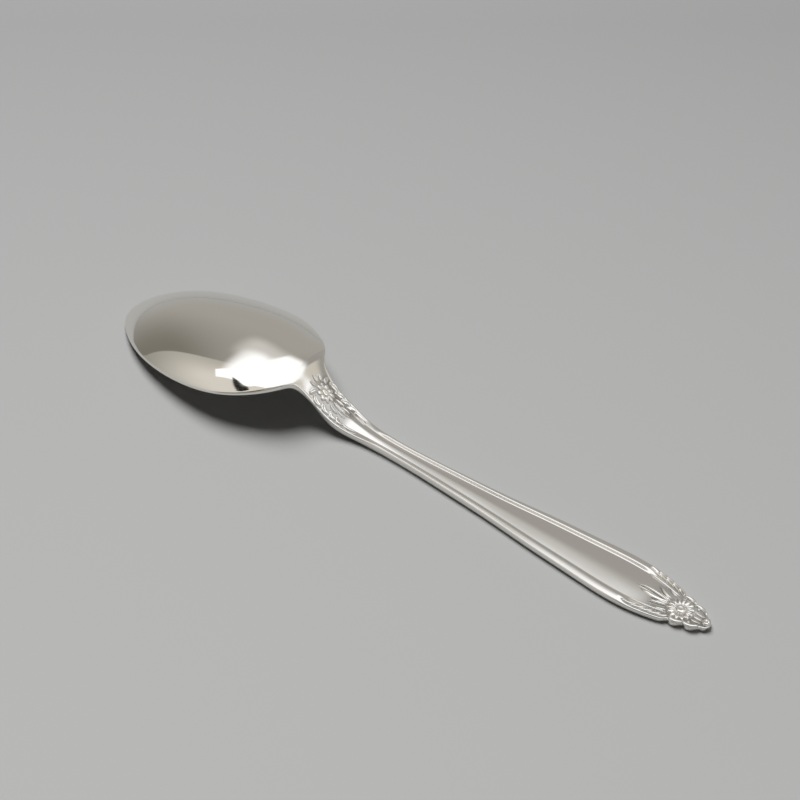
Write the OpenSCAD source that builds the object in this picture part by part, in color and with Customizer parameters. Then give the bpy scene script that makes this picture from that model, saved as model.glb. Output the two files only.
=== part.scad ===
// Teaspoon lying face down, its bowl's back upward, 1 unit = 1 mm.
// X runs from the bowl's tip to the handle's end, Y across, Z up out of the spoon's back.
// The whole blank is one loft: control sections along the length, joined by a cubic spline.

/* [Whole spoon] */
// Length from the tip of the bowl to the end of the handle
overall_l = 152; // [140:1:165]
// Thickness of the edge of the neck, stem and handle
edge_t = 1.2; // [0.9:0.1:1.8]

/* [Bowl] */
// Length of the bowl from its tip to its heel
bowl_l = 51; // [47:0.5:55]
// Greatest width of the bowl
bowl_w = 31; // [26:0.5:36]
// Height of the bowl's back above its rim
bowl_crown = 7.9; // [5:0.1:9]
// Height of the heel's edge above the table, the tip lying on it
heel_rise = 9.8; // [7:0.1:12]
// Thickness of the rim
rim_t = 0.6; // [0.5:0.1:1.3]
// Thickness of the wall at the bowl's middle
wall_t = 1.2; // [1:0.1:1.8]

/* [Neck and stem] */
// Length of the neck from the heel to the slender stem
neck_l = 16; // [14:0.5:18]
// Width of the neck where it carries the ornament
neck_w = 7.4; // [6:0.1:9]
// Width of the stem
stem_w = 5.3; // [4.4:0.1:7]
// Crown of the neck and the stem above the foot of the border
stem_crown = 0.9; // [0.5:0.1:1.4]

/* [Handle] */
// Length of the widening handle, from the stem to its end
handle_l = 50; // [45:0.5:54]
// Greatest width of the handle
handle_w = 13.2; // [11:0.1:16]
// Crown of the handle's panel above the foot of the border
handle_crown = 0.34; // [0.2:0.02:0.6]
// Height of the arch that the handle makes over the table
handle_arch = 0.3; // [0.1:0.05:1]

/* [Border] */
// Width of the border's inner face, from its crest to its foot
border_w = 0.85; // [0.6:0.05:1.1]
// Height of the border's crest above the edge of the handle
border_h = 0.35; // [0.2:0.05:0.5]
// Depth of the border's foot below the edge of the handle
foot_d = 0.1; // [0.05:0.01:0.2]

/* [Tip ornament] */
// Diameter of the flower at the handle's end
flower_d = 5.8; // [4.8:0.1:6.4]
// Number of petals of that flower
petals = 14; // [8:1:18]
// Height of the relief of the tip ornament
relief_h = 0.5; // [0.3:0.05:0.7]
// Distance from the flower's centre to the handle's end
flower_end = 6.8; // [6.2:0.1:8]
// Length of the middle leaf that points along the handle
spray_l = 7; // [5:0.5:9]
// Length of the row of husk leaves that ends each border
husk_l = 8; // [6:0.5:10]
// Depth of the notches between the lobes of the outline
notch_d = 0.55; // [0.2:0.05:0.7]

/* [Neck ornament] */
// Diameter of the small flower on the neck
floret_d = 3.8; // [3.2:0.1:4.4]
// Number of petals of the small flower
floret_petals = 9; // [6:1:12]
// Height of the relief of the neck ornament
neck_relief_h = 0.5; // [0.3:0.05:0.7]
// Distance from the bowl's heel to the small flower's centre
floret_from_heel = 5; // [4:0.1:6]
// Length of the bud that points from the small flower along the stem
bud_l = 4.6; // [3.5:0.1:5.5]
// Distance from the neck's end back to the points of the longest leaves
leaf_gap = 1.6; // [1:0.1:2.5]

/* [Hidden] */
// How far each piece of relief is keyed into the ground that carries it
key_in = 0.08;
// Span steps of the loft for the bowl, the plain lengths and the notched tip
bowl_steps = 5;
plain_steps = 4;
tip_steps = 9;
place_steps = 24;
// Number of strips across the bowl and across the rest
bowl_strips = 20;
strips = 8;
// Roundness of the bowl's cross section, 0 a parabola and 1 a half circle
roundness_share = 0.82;
least_roundness_share = 0.1;
// First and last place of the loft, just inside its pointed ends
end_gap_share = 0.03;
// Smallest half width of a leaf, which keeps its point closed
point_w = 0.03;
// Width of the border's outer slope as a share of the half width
slope_share = 0.235;
// Steps along a border, and the number of steps over which it rises at each end
border_rings = 44;
border_rise = 5;
// Section of a border from the outline inward: a long outer slope, the crest and the inner face.
// Each row is a share of the slope's width, a share of the inner face's width, and a height.
border_shares = [
    [0.05, 0.00, 0.00],
    [0.20, 0.00, 0.38],
    [0.45, 0.00, 0.75],
    [0.75, 0.00, 1.02],
    [1.00, 0.05, 1.15],
    [1.00, 0.25, 1.10],
    [1.00, 0.50, 0.62],
    [1.00, 0.75, 0.18],
    [1.00, 0.95, 0.00]
];

// Control sections of the bowl: station, half width, edge height, edge thickness, crown, hollow
bowl_shares = [
    [0.000, 0.000, 0.00, 1.00, 0.00, 0.00],
    [0.000, 0.206, 0.00, 1.00, 0.00, 0.00],
    [0.059, 0.455, 0.07, 1.00, 0.30, 0.30],
    [0.235, 0.823, 0.22, 1.00, 0.80, 0.80],
    [0.471, 1.000, 0.38, 1.00, 1.02, 1.02],
    [0.725, 1.006, 0.63, 1.00, 0.82, 0.82],
    [0.902, 0.710, 0.83, 1.40, 0.34, 0.30],
    [0.990, 0.465, 1.00, 2.10, 0.14, 0.00]
];
// Control sections of the neck: station, half width, edge height, edge thickness, crown, border
neck_shares = [
    [0.03, 1.16, 0.92, 1.15, 0.80, 0.20],
    [0.31, 0.95, 0.41, 1.20, 0.70, 0.50],
    [0.63, 1.03, 0.13, 1.20, 0.60, 1.00],
    [1.00, 0.63, 0.02, 1.15, 0.30, 1.00]
];
// Control sections of the stem: station, half width, edge height, edge thickness, crown
stem_shares = [
    [0.32, 0.84, 0.02, 1.05, 0.30],
    [0.66, 1.12, 0.03, 1.00, 0.30]
];
// Control sections of the handle: station, half width, edge height, crown.
// The crown turns into a shallow dish under the flower, and the end lies flat on the table.
handle_shares = [
    [0.00, 0.56, 0.80, 0.80],
    [0.20, 0.74, 1.00, 1.00],
    [0.40, 0.84, 0.90, 1.00],
    [0.60, 0.98, 0.80, 1.00],
    [0.76, 0.86, 0.60, 0.00],
    [0.90, 0.51, 0.00, -0.80],
    [0.99, 0.36, 0.00, -0.40],
    [1.00, 0.00, 0.00, 0.00]
];
// Stations of the notches in the tip's outline, from the handle's end, as shares of flower_end
notch_shares = [1.12, 0.68, 0.22];
// Width of a notch
notch_w = 0.7;
// Eye of a flower as a share of its width, and how far the rim dips between two petals
eye_share = 0.36;
petal_dip_share = 0.85;
// Height of the groove between two petals, and how quickly a petal fills out from it
groove_share = 0.35;
petal_fill_share = 0.7;
// Steps round one petal and round an eye, and the angles of the eye's rings above its foot
petal_steps = 6;
eye_steps = 20;
eye_angles = [15, 40, 65];
// Steps along a leaf, how quickly it fills out from its point, and the ridge's height at a point
leaf_steps = 8;
leaf_fill_share = 0.8;
ridge_end_share = 0.08;
// Sideways bow of a curved leaf
bow_share = 0.3;
// Width of the widest leaf of the tip's spray
leaf_w = 1.4;
// Leaves of the spray from the middle outward: angle, length, width and height
spray_angle = 21;
spray_shares = [[0, 1, 1, 1], [1, 0.6, 0.9, 1], [2.3, 0.4, 0.9, 0.8]];
// Husk leaves of one border: width, distances of root and point from the outline, length share
husk_w = 1.1;
husk_out = 1.5;
husk_in = 1.9;
husks = 3;
husk_leaf_share = 0.31;
// Lobes behind the outline: width, and their far end's distance from the outline
lobe_w = 0.9;
lobe_in = 0.6;
lobe_end_share = 0.8;
end_lobe_d = 1.8;
// Flutes of the end: width, angle between them and length of the outer ones
flute_w = 0.8;
fan_angle = 36;
flute_share = 0.8;
// Short leaves of the neck: width, angle between them, length and how much each outer one loses
neck_leaf_w = 0.9;
neck_leaf_angle = 40;
neck_leaf_share = 0.6;
neck_leaf_loss_share = 0.06;
// The bud's width, and the length and width of its two small leaves
bud_w = 1.3;
bud_leaf_shares = [0.38, 0.5];
// Leaves on the neck's sides: width, start before the flower's centre, and each one's two ends
side_leaf_w = 0.8;
side_leaf_in = 1.4;
side_start_share = 0.15;
side_leaf_shares = [[0, 0.175], [0.187, 0.362], [0.374, 0.549], [0.561, 1]];

stem_l = overall_l - bowl_l - neck_l - handle_l;
x_tip = -overall_l / 2;
x_heel = x_tip + bowl_l;
x_stem = x_heel + neck_l;
x_handle = x_stem + stem_l;
x_end = x_tip + overall_l;
x_flower = x_end - flower_end;
x_floret = x_heel + floret_from_heel;
// The borders run from the points of the neck's leaves to the first husks
border_start = x_stem - leaf_gap;
border_end = x_flower - husk_l;

// One control section: x, half width, edge height, edge thickness, back crown, front crown, border
function bowl_section(r) = [
    x_tip + r[0] * bowl_l, r[1] * bowl_w / 2, r[2] * heel_rise, r[3] * rim_t,
    r[4] * bowl_crown, r[5] * (bowl_crown + rim_t - wall_t), 0];
function neck_section(r) = [
    x_heel + r[0] * neck_l, r[1] * neck_w / 2, r[2] * heel_rise, r[3] * edge_t,
    r[4] * stem_crown, 0, r[5]];
function stem_section(r) = [
    x_stem + r[0] * stem_l, r[1] * stem_w / 2, r[2] * heel_rise, r[3] * edge_t,
    r[4] * stem_crown, 0, 1];
function handle_section(r) = [
    x_handle + r[0] * handle_l, r[1] * handle_w / 2, r[2] * handle_arch, edge_t,
    r[3] * handle_crown, 0, 1];

sections = concat(
    [for (r = bowl_shares) bowl_section(r)],
    [for (r = neck_shares) neck_section(r)],
    [for (r = stem_shares) stem_section(r)],
    [for (r = handle_shares) handle_section(r)]);

// Places where one length of the spoon ends and the next begins, in spans of the spline.
// The stem takes in the handle's first span, and the tip has a span for each notch.
last_span = len(sections) - 3;
heel_span = len(bowl_shares) - 2;
neck_span = heel_span + len(neck_shares);
stem_span = neck_span + len(stem_shares) + 1;
panel_span = last_span - len(notch_shares);

// Cubic spline with its ends clamped to the first and the last control section
function knot(i) = min(max(i - 3, 0), last_span);
function ratio(a, b) = b == 0 ? 0 : a / b;
function weight(i, degree, t) = degree == 0
    ? (t >= knot(i) && t < knot(i + 1) ? 1 : 0)
    : ratio(t - knot(i), knot(i + degree) - knot(i)) * weight(i, degree - 1, t)
        + ratio(knot(i + degree + 1) - t, knot(i + degree + 1) - knot(i + 1))
            * weight(i + 1, degree - 1, t);
function spline(t) = let (i = min(floor(t), last_span - 1))
    weight(i, 3, t) * sections[i]
    + weight(i + 1, 3, t) * sections[i + 1]
    + weight(i + 2, 3, t) * sections[i + 2]
    + weight(i + 3, 3, t) * sections[i + 3];

// Shape of a cross section, 1 on the middle line and 0 at the edge
function roundness(s) = max(least_roundness_share, roundness_share * min(1, s[1] / (bowl_w / 2)));
function dome(u, k) = (sqrt(1 - k * k * u * u) - sqrt(1 - k * k)) / (1 - sqrt(1 - k * k));

// Height of the back and of the front of section s at distance y from the middle line
function border_of(s) = min(s[6] * (slope_share * s[1] + border_w), s[1] - point_w);
function back_z(s, y) =
    let (b = border_of(s), v = s[1] - abs(y))
    s[2] + s[3]
    - (b > 0 ? s[6] * foot_d * min(1, v / b) : 0)
    + (v < b ? 0 : s[4] * dome(abs(y) / (s[1] - b), roundness(s)));
function front_z(s, y) = s[2] + s[5] * dome(abs(y) / s[1], roundness(s));

// The outline of the tip is drawn in at each notch
function notch_cut(x) = [for (n = notch_shares)
    notch_d * exp(-pow((x_end - n * flower_end - x) / notch_w, 2))] * [for (n = notch_shares) 1];
function notched(s) = [s[0], s[1] - min(notch_cut(s[0]), s[1] / 2), s[2], s[3], s[4], s[5], s[6]];
function station(t) = let (s = spline(t)) t > panel_span ? notched(s) : s;

// Section at x, through a table of where the spline is at each small step
places = [for (i = [0 : last_span * place_steps]) [spline(i / place_steps)[0], i / place_steps]];
function section_at(x) = station(lookup(x, places));

// Columns across a section: even angles over the bowl, borders and even strips elsewhere
function bowl_columns(s) = [for (j = [0 : bowl_strips]) -cos(180 * j / bowl_strips) * s[1]];
function plain_columns(s) = let (inner = s[1] - border_of(s)) concat(
    [-s[1]],
    [for (j = [0 : strips]) inner * (2 * j / strips - 1)],
    [s[1]]);

// One closed ring: along the back from edge to edge and home along the front.
// A flat front needs no columns between its two edges.
function ring(s, cols, flat_front) = concat(
    [for (y = cols) [s[0], y, back_z(s, y)]],
    flat_front
        ? [[s[0], s[1], s[2]], [s[0], -s[1], s[2]]]
        : [for (j = [len(cols) - 1 : -1 : 0]) [s[0], cols[j], front_z(s, cols[j])]]);

// Skin over rings that all have the same number of points
module skin(rings, closed = false) {
    n = len(rings[0]);
    m = len(rings);
    points = [for (r = rings) each r];
    sides = [for (i = [0 : closed ? m - 1 : m - 2], j = [0 : n - 1])
        let (a = i * n, b = (i + 1) % m * n, k = (j + 1) % n)
        each [[a + j, a + k, b + k], [a + j, b + k, b + j]]];
    first_cap = [for (j = [n - 1 : -1 : 0]) j];
    last_cap = [for (j = [0 : n - 1]) (m - 1) * n + j];
    polyhedron(points = points, faces = closed ? sides : concat(sides, [first_cap, last_cap]));
}

// One length of the blank between two places of the spline
module length_of_blank(from, to, steps, wide = false, flat_front = true) {
    n = round((to - from) * steps);
    skin([for (i = [0 : n])
        let (s = station(from + (to - from) * i / n))
        ring(s, wide ? bowl_columns(s) : plain_columns(s), flat_front)]);
}

module bowl() {
    color("silver") length_of_blank(end_gap_share, heel_span, bowl_steps, true, false);
}

module neck() {
    color("silver") length_of_blank(heel_span, neck_span, plain_steps, false, false);
}

module stem() {
    color("silver") length_of_blank(neck_span, stem_span, plain_steps);
}

module handle_panel() {
    color("silver") length_of_blank(stem_span, panel_span, plain_steps);
}

module handle_tip() {
    color("silver") length_of_blank(panel_span, last_span - end_gap_share, tip_steps);
}

// Height of the spoon's back above the table at x and y
function ground(x, y) = back_z(section_at(x), y);

// One ring of a border, which rises out of the back over its first and its last few steps
function border_ring(i, side) =
    let (t = i / border_rings, x = border_start + (border_end - border_start) * t,
        s = section_at(x), rise = min(1, (i + 1) / border_rise, (border_rings + 1 - i) / border_rise))
    [for (p = border_shares)
        let (y = s[1] - p[0] * slope_share * s[1] - p[1] * border_w)
        [x, side * y, back_z(s, y) - key_in + p[2] * (border_h + key_in) * rise]];
module border(side) {
    rings = [for (i = [0 : border_rings]) border_ring(i, side)];
    color("gainsboro")
        skin(side > 0 ? rings : [for (r = rings) [for (j = [len(r) - 1 : -1 : 0]) r[j]]]);
}
module left_border() {
    border(1);
}
module right_border() {
    border(-1);
}

// A leaf laid on the back: its middle line bows from one place to another, its ridge stands up
function bowed(a, b, bow, t) = let (d = b - a)
    a + d * t + [-d[1], d[0]] * bow * 4 * t * (1 - t);
function leaf_half(t, w) = max(point_w, w / 2 * pow(sin(180 * t), leaf_fill_share));
module leaf(a, b, w, h, bow = 0) {
    d = (b - a) / norm(b - a);
    side = [-d[1], d[0]];
    skin([for (i = [0 : leaf_steps])
        let (t = i / leaf_steps, c = bowed(a, b, bow, t), q = leaf_half(t, w),
            l = c + side * q, r = c - side * q, ridge = h * min(1, 2 * q / w + ridge_end_share))
        [
            [l[0], l[1], ground(l[0], l[1]) - key_in],
            [c[0], c[1], ground(c[0], c[1]) + ridge],
            [r[0], r[1], ground(r[0], r[1]) - key_in]
        ]]);
}

// Angle at which the back falls away along X, and a place on it counted along its slope
function tilt_at(x) = atan((ground(x - point_w, 0) - ground(x + point_w, 0)) / (2 * point_w));
function along_slope(x, p) = [x + p[0] * cos(tilt_at(x)), p[1]];

// A ring of petals round a flower's eye, one closed loop whose section swells at each petal.
// Each row is a radius between the eye and the rim of the petals, and a height.
petal_shares = [[0, 0.55], [0.45, 1], [0.8, 0.8]];
function swell(angle, number) =
    groove_share + (1 - groove_share) * pow(abs(cos(number * angle / 2)), petal_fill_share);
module petal_ring(x, d, number, h) {
    r_eye = d * eye_share / 2;
    n = number * petal_steps;
    skin([for (i = [0 : n - 1])
        let (angle = 360 * i / n, s = swell(angle, number),
            r_out = d / 2 * (petal_dip_share + (1 - petal_dip_share) * s),
            rows = concat(
                [[r_eye, -key_in]],
                [for (p = petal_shares) [r_eye + p[0] * (r_out - r_eye), p[1] * h * s]],
                [[r_out, -key_in]]))
        [for (p = rows)
            let (q = along_slope(x, p[0] * [cos(angle), sin(angle)]))
            [q[0], q[1], ground(q[0], q[1]) + p[1]]]], true);
}

// The raised eye of a flower, a low dome over the ground that carries it
module flower_eye(x, d, h) {
    function level(r, up) = [for (i = [0 : eye_steps - 1])
        let (q = along_slope(x, r * [cos(360 * i / eye_steps), sin(360 * i / eye_steps)]))
        [q[0], q[1], ground(q[0], q[1]) + up]];
    skin(concat(
        [level(point_w, -key_in), level(d / 2, -key_in)],
        [for (a = eye_angles) level(d / 2 * cos(a), h * sin(a))],
        [level(point_w, h)]));
}

// A leaf that starts at some distance from a flower's centre and points away from it
module leaf_from(x, angle, start, l, w, h, bow = 0) {
    dir = [cos(angle), sin(angle)];
    leaf(along_slope(x, dir * start), along_slope(x, dir * (start + l)), w, h, bow);
}
// Place on the back at distance v inside the outline
function inside(x, side, v) = [x, side * (section_at(x)[1] - v)];

module tip_flower() {
    color("gainsboro") petal_ring(x_flower, flower_d, petals, relief_h);
}

module tip_flower_eye() {
    color("lightgray") flower_eye(x_flower, flower_d * eye_share, relief_h);
}

// Three pointed leaves along the handle, with a short one in each gap
module tip_leaves() {
    color("gainsboro") for (r = spray_shares, side = r[0] > 0 ? [-1, 1] : [1])
        leaf_from(x_flower, 180 + side * r[0] * spray_angle, flower_d / 2,
            r[1] * spray_l, r[2] * leaf_w, r[3] * relief_h);
}

// Husk leaves in a row where the border ends, each one's root inside the point of the next
module tip_husk(side) {
    color("gainsboro") for (i = [0 : husks - 1]) {
        a = border_end + husk_l * i / husks;
        leaf(inside(a, side, husk_out), inside(a + husk_l * husk_leaf_share, side, husk_in),
            husk_w, relief_h, side * bow_share);
    }
}
module left_tip_husk() {
    tip_husk(1);
}
module right_tip_husk() {
    tip_husk(-1);
}

// One rounded lobe behind each stretch of the outline between two notches, and one at the end
module tip_lobes() {
    stations = [for (n = notch_shares) x_end - n * flower_end];
    color("gainsboro") {
        for (side = [-1, 1], i = [0 : 1]) {
            a = stations[i] + notch_w / 2;
            b = stations[i + 1] - notch_w / 2;
            leaf(inside(a, side, lobe_in), inside(b, side, lobe_in * lobe_end_share),
                lobe_w, relief_h, side * bow_share / 2);
        }
        flower_eye(x_end - end_lobe_d * lobe_end_share, end_lobe_d, relief_h);
    }
}

// Flutes that run from the flower to the end
module tip_fan() {
    start = flower_d / 2;
    l = flower_end - start - end_lobe_d * (0.5 + lobe_end_share);
    color("gainsboro") {
        leaf_from(x_flower, 0, start, l, flute_w, relief_h);
        for (side = [-1, 1])
            leaf_from(x_flower, side * fan_angle, start, l * flute_share, flute_w, relief_h);
    }
}

module neck_flower() {
    color("gainsboro") petal_ring(x_floret, floret_d, floret_petals, neck_relief_h);
}

module neck_flower_eye() {
    color("lightgray") flower_eye(x_floret, floret_d * eye_share, neck_relief_h);
}

// Short leaves that fan out over the drop of the neck towards the bowl
module neck_leaves() {
    color("gainsboro") for (i = [-2 : 2])
        leaf_from(x_floret, 180 + i * neck_leaf_angle, floret_d / 2,
            floret_d * (neck_leaf_share - neck_leaf_loss_share * abs(i)), neck_leaf_w, neck_relief_h);
}

// A bud on the middle line that points along the stem, with a small leaf on each side
module neck_bud() {
    start = floret_d / 2;
    color("gainsboro") {
        leaf_from(x_floret, 0, start, bud_l, bud_w, neck_relief_h);
        for (side = [-1, 1])
            leaf_from(x_floret, side * spray_angle, start,
                bud_leaf_shares[0] * bud_l, bud_leaf_shares[1] * bud_w, neck_relief_h);
    }
}

// Leaves that run down each side of the neck, the last one drawn out along the stem
module neck_side_leaves(side) {
    first = x_floret - side_start_share * floret_d;
    l = x_stem - leaf_gap - first;
    color("gainsboro") for (r = side_leaf_shares)
        leaf(inside(first + r[0] * l, side, side_leaf_in), inside(first + r[1] * l, side, side_leaf_w),
            side_leaf_w, neck_relief_h, -side * bow_share);
}
module left_neck_leaves() {
    neck_side_leaves(1);
}
module right_neck_leaves() {
    neck_side_leaves(-1);
}

bowl();
neck();
stem();
handle_panel();
handle_tip();
left_border();
right_border();
tip_flower();
tip_flower_eye();
tip_leaves();
left_tip_husk();
right_tip_husk();
tip_lobes();
tip_fan();
neck_flower();
neck_flower_eye();
neck_leaves();
neck_bud();
left_neck_leaves();
right_neck_leaves();
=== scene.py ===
# %% [markdown]
# # A silver teaspoon that lies face down
# A teaspoon is struck from one flat blank of silver. Its bowl is pressed deep, its neck is bent,
# and steel dies raise a border, a flower and leaves on the back of the handle. It is then
# polished until it mirrors the room. A mirror shows every fault of its surface, so the blank is
# worked out here as one smooth skin, and the raised ornament is laid on that skin piece by piece.

# %% Load the CAD frame
import bpy
import numpy as np
from math import radians
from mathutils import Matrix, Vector


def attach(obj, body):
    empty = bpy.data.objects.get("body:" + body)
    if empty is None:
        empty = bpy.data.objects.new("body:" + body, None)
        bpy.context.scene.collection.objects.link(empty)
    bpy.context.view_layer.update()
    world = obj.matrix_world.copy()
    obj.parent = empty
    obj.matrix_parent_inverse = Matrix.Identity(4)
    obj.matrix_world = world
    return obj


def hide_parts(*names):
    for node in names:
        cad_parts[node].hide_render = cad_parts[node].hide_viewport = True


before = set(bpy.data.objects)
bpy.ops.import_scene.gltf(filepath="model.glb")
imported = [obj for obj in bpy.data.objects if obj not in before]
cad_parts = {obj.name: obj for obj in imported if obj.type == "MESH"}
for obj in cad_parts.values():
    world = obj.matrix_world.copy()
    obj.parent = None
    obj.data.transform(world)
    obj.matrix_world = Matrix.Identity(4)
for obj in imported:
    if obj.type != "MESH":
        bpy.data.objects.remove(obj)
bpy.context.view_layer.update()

# %% [markdown]
# ## The control sections
# The shape of the whole blank is held by 22 control sections. Each gives the place along the
# spoon, the half width, the height and thickness of the edge, how far the back is crowned, how
# far the front is hollowed, and how much of the border's rebate there is. They are the same
# sections as in the CAD source, in millimetres, so the polished skin lies where the solids lie.

# %% Sizes and control sections of the blank
MM = 0.001
X_TIP, X_HEEL, X_STEM, X_HANDLE, X_END = -76.0, -25.0, -9.0, 26.0, 76.0
BOWL_W, NECK_W, STEM_W, HANDLE_W = 31.0, 7.4, 5.3, 13.2
CROWN, RISE, RIM_T, WALL_T, EDGE_T = 7.9, 9.8, 0.6, 1.2, 1.2
STEM_CROWN, HANDLE_CROWN, ARCH = 0.9, 0.34, 0.3
SLOPE, BORDER_W, BORDER_H, FOOT_D = 0.235, 0.85, 0.35, 0.1

bowl_rows = [(0, 0, 0, 1, 0, 0), (0, .206, 0, 1, 0, 0), (.059, .455, .07, 1, .3, .3),
             (.235, .823, .22, 1, .8, .8), (.471, 1, .38, 1, 1.02, 1.02),
             (.725, 1.006, .63, 1, .82, .82), (.902, .71, .83, 1.4, .34, .3),
             (.99, .465, 1, 2.1, .14, 0)]
neck_rows = [(.03, 1.16, .92, 1.15, .8, .2), (.31, .95, .41, 1.2, .7, .5),
             (.63, 1.03, .13, 1.2, .6, 1), (1, .63, .02, 1.15, .3, 1)]
stem_rows = [(.32, .84, .02, 1.05, .3), (.66, 1.12, .03, 1, .3)]
handle_rows = [(0, .56, .8, .8), (.2, .74, 1, 1), (.4, .84, .9, 1), (.6, .98, .8, 1),
               (.76, .86, .6, 0), (.9, .51, 0, -.8), (.99, .36, 0, -.4), (1, 0, 0, 0)]

SECTIONS = np.array(
    [(X_TIP + r[0] * (X_HEEL - X_TIP), r[1] * BOWL_W / 2, r[2] * RISE, r[3] * RIM_T,
      r[4] * CROWN, r[5] * (CROWN + RIM_T - WALL_T), 0) for r in bowl_rows]
    + [(X_HEEL + r[0] * (X_STEM - X_HEEL), r[1] * NECK_W / 2, r[2] * RISE, r[3] * EDGE_T,
        r[4] * STEM_CROWN, 0, r[5]) for r in neck_rows]
    + [(X_STEM + r[0] * (X_HANDLE - X_STEM), r[1] * STEM_W / 2, r[2] * RISE, r[3] * EDGE_T,
        r[4] * STEM_CROWN, 0, 1) for r in stem_rows]
    + [(X_HANDLE + r[0] * (X_END - X_HANDLE), r[1] * HANDLE_W / 2, r[2] * ARCH, EDGE_T,
        r[3] * HANDLE_CROWN, 0, 1) for r in handle_rows])
LAST = len(SECTIONS) - 3
HEEL, NECK, STEM, PANEL = 6, 10, 13, 16
print(len(SECTIONS), "control sections over", LAST, "spans")

# %% [markdown]
# ## One spline through all the sections
# A cubic B-spline blends four neighbouring sections at every place. Its curvature never jumps,
# and that is what keeps a reflection from breaking as it runs from the bowl over the heel and
# down the neck. Separate shapes for bowl and handle would meet in a visible line. Near the
# handle's end the outline is drawn in at three notches, which part the lobes of the ornament.

# %% The spline, the notched outline and a table of sections along X
NOTCHES = X_END - np.array([1.12, 0.68, 0.22]) * 6.8
NOTCH_D, NOTCH_W = 0.55, 0.7


def knot(i):
    """Place of knot i; the outer ones repeat, so that the spline ends on its last sections."""
    return min(max(i - 3, 0), LAST)


def spline(t):
    """Sections at the places t of the spline, one row for each."""
    t = np.minimum(np.asarray(t, float), LAST - 1e-9)
    basis = [((t >= knot(i)) & (t < knot(i + 1))).astype(float) for i in range(len(SECTIONS) + 3)]
    for degree in (1, 2, 3):
        span = [max(knot(i + degree) - knot(i), 1e-9) for i in range(len(basis))]
        basis = [basis[i] * (t - knot(i)) / span[i]
                 + basis[i + 1] * (knot(i + degree + 1) - t) / span[i + 1]
                 for i in range(len(basis) - 1)]
    return sum(np.multiply.outer(b, row) for b, row in zip(basis, SECTIONS))


def sections(t):
    s = spline(t)
    cut = sum(NOTCH_D * np.exp(-((s[:, 0] - x) / NOTCH_W) ** 2) for x in NOTCHES)
    s[:, 1] -= np.where(np.asarray(t) > PANEL, np.minimum(cut, s[:, 1] / 2), 0)
    return s


PLACES = np.linspace(0, LAST, 6000)
TABLE = sections(PLACES)


def section_at(x):
    """Section at the place x along the spoon, read from the table."""
    return np.stack([np.interp(x, TABLE[:, 0], TABLE[:, k]) for k in range(7)], axis=-1)


at_bowl, at_handle = TABLE[TABLE[:, 0] < X_HEEL], TABLE[TABLE[:, 0] > X_HANDLE]
print("widest at the bowl", round(2 * at_bowl[:, 1].max(), 2), "mm, at the handle",
      round(2 * at_handle[:, 1].max(), 2), "mm")

# %% [markdown]
# ## The form of a cross section
# Over the bowl the back is a dome. Along the neck, stem and handle it is a low crowned panel
# between two raised borders: each border slopes up from the edge, turns over its crest, and
# falls in an S to its foot, where the panel begins. The border grows out of the leaves at the
# neck and dies into the husks near the end, so its height is eased in and out along the spoon.

# %% Height of the back
BORDER_FROM, BORDER_TO = -10.6, 61.2


def ease(x, a, b):
    q = np.clip((x - a) / (b - a), 0, 1)
    return q * q * (3 - 2 * q)


def dome(u, s):
    """Share of the crown's height at the share u of the half width: part of a circle."""
    k = np.maximum(0.1, 0.82 * np.minimum(1, s[..., 1] / (BOWL_W / 2)))
    flat = np.sqrt(1 - k * k)
    return (np.sqrt(np.clip(1 - k * k * u * u, 0, None)) - flat) / (1 - flat)


def zones(s):
    """Distance from the outline of the border's crest and of its foot."""
    w = s[..., 1]
    crest = np.maximum(SLOPE * w, np.minimum(0.3, 0.35 * w) + 0.1 * w)
    return crest, crest + np.minimum(BORDER_W, 0.5 * (w - crest))


def border_rise(x):
    return ease(x, BORDER_FROM - 0.5, BORDER_FROM + 6) * (1 - ease(x, BORDER_TO - 3.5, BORDER_TO))


def back_height(s, v):
    """Height of the back at distance v inside the outline of section s."""
    w = s[..., 1]
    rebate = np.minimum(s[..., 6] * (SLOPE * w + BORDER_W), w - 0.01)
    inner = np.maximum(w - rebate, 0.01)
    z = (s[..., 2] + s[..., 3] - s[..., 6] * FOOT_D * np.minimum(1, v / np.maximum(rebate, 1e-6))
         + s[..., 4] * np.where(v < rebate, 0, dome(np.clip((w - v) / inner, 0, 1), s)))
    crest, foot = zones(s)
    up = 1 - (1 - np.clip(v / crest, 0, 1)) ** 2
    fall = 0.5 + 0.5 * np.cos(np.pi * np.clip((v - crest) / (foot - crest), 0, 1))
    moulding = np.where(v < crest, BORDER_H * up, (BORDER_H + FOOT_D) * fall - FOOT_D)
    moulding = moulding + FOOT_D * np.clip(v / foot, 0, 1)
    return z + border_rise(s[..., 0]) * np.where(v < foot, moulding, 0)


def ground(x, y):
    """Height of the finished back at any place, for the ornament to stand on."""
    s = section_at(x)
    return back_height(s, np.clip(s[..., 1] - np.abs(y), 0, None))


print("back above the table: bowl", round(float(ground(-45.0, 0.0)), 2), "stem",
      round(float(ground(4.0, 0.0)), 2), "panel", round(float(ground(45.0, 0.0)), 2), "mm")

# %% [markdown]
# ## Rings round the blank
# Every section becomes a closed ring of points: over the back with both borders, round the
# softly polished edge, and home along the front. The edge's roundings are drawn out where the
# outline turns towards the ends, so that they stay equally wide seen square to the edge.

# %% Closed rings of points
TOP_R, LOW_R = 0.3, 0.25
ROUND_STEPS, CREST_STEPS, FOOT_STEPS, PANEL_STEPS = 6, 8, 10, 20
FOOT_PLACE = ROUND_STEPS + CREST_STEPS + FOOT_STEPS
MIDDLE_PLACE = FOOT_PLACE + PANEL_STEPS


def half_columns(start, stops):
    """Columns from `start` over the zones in `stops` of (end, number of steps)."""
    columns = []
    for end, steps in stops:
        for k in range(steps):
            columns.append(start + (end - start) * k / steps)
        start = end
    return columns + [start]


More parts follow.
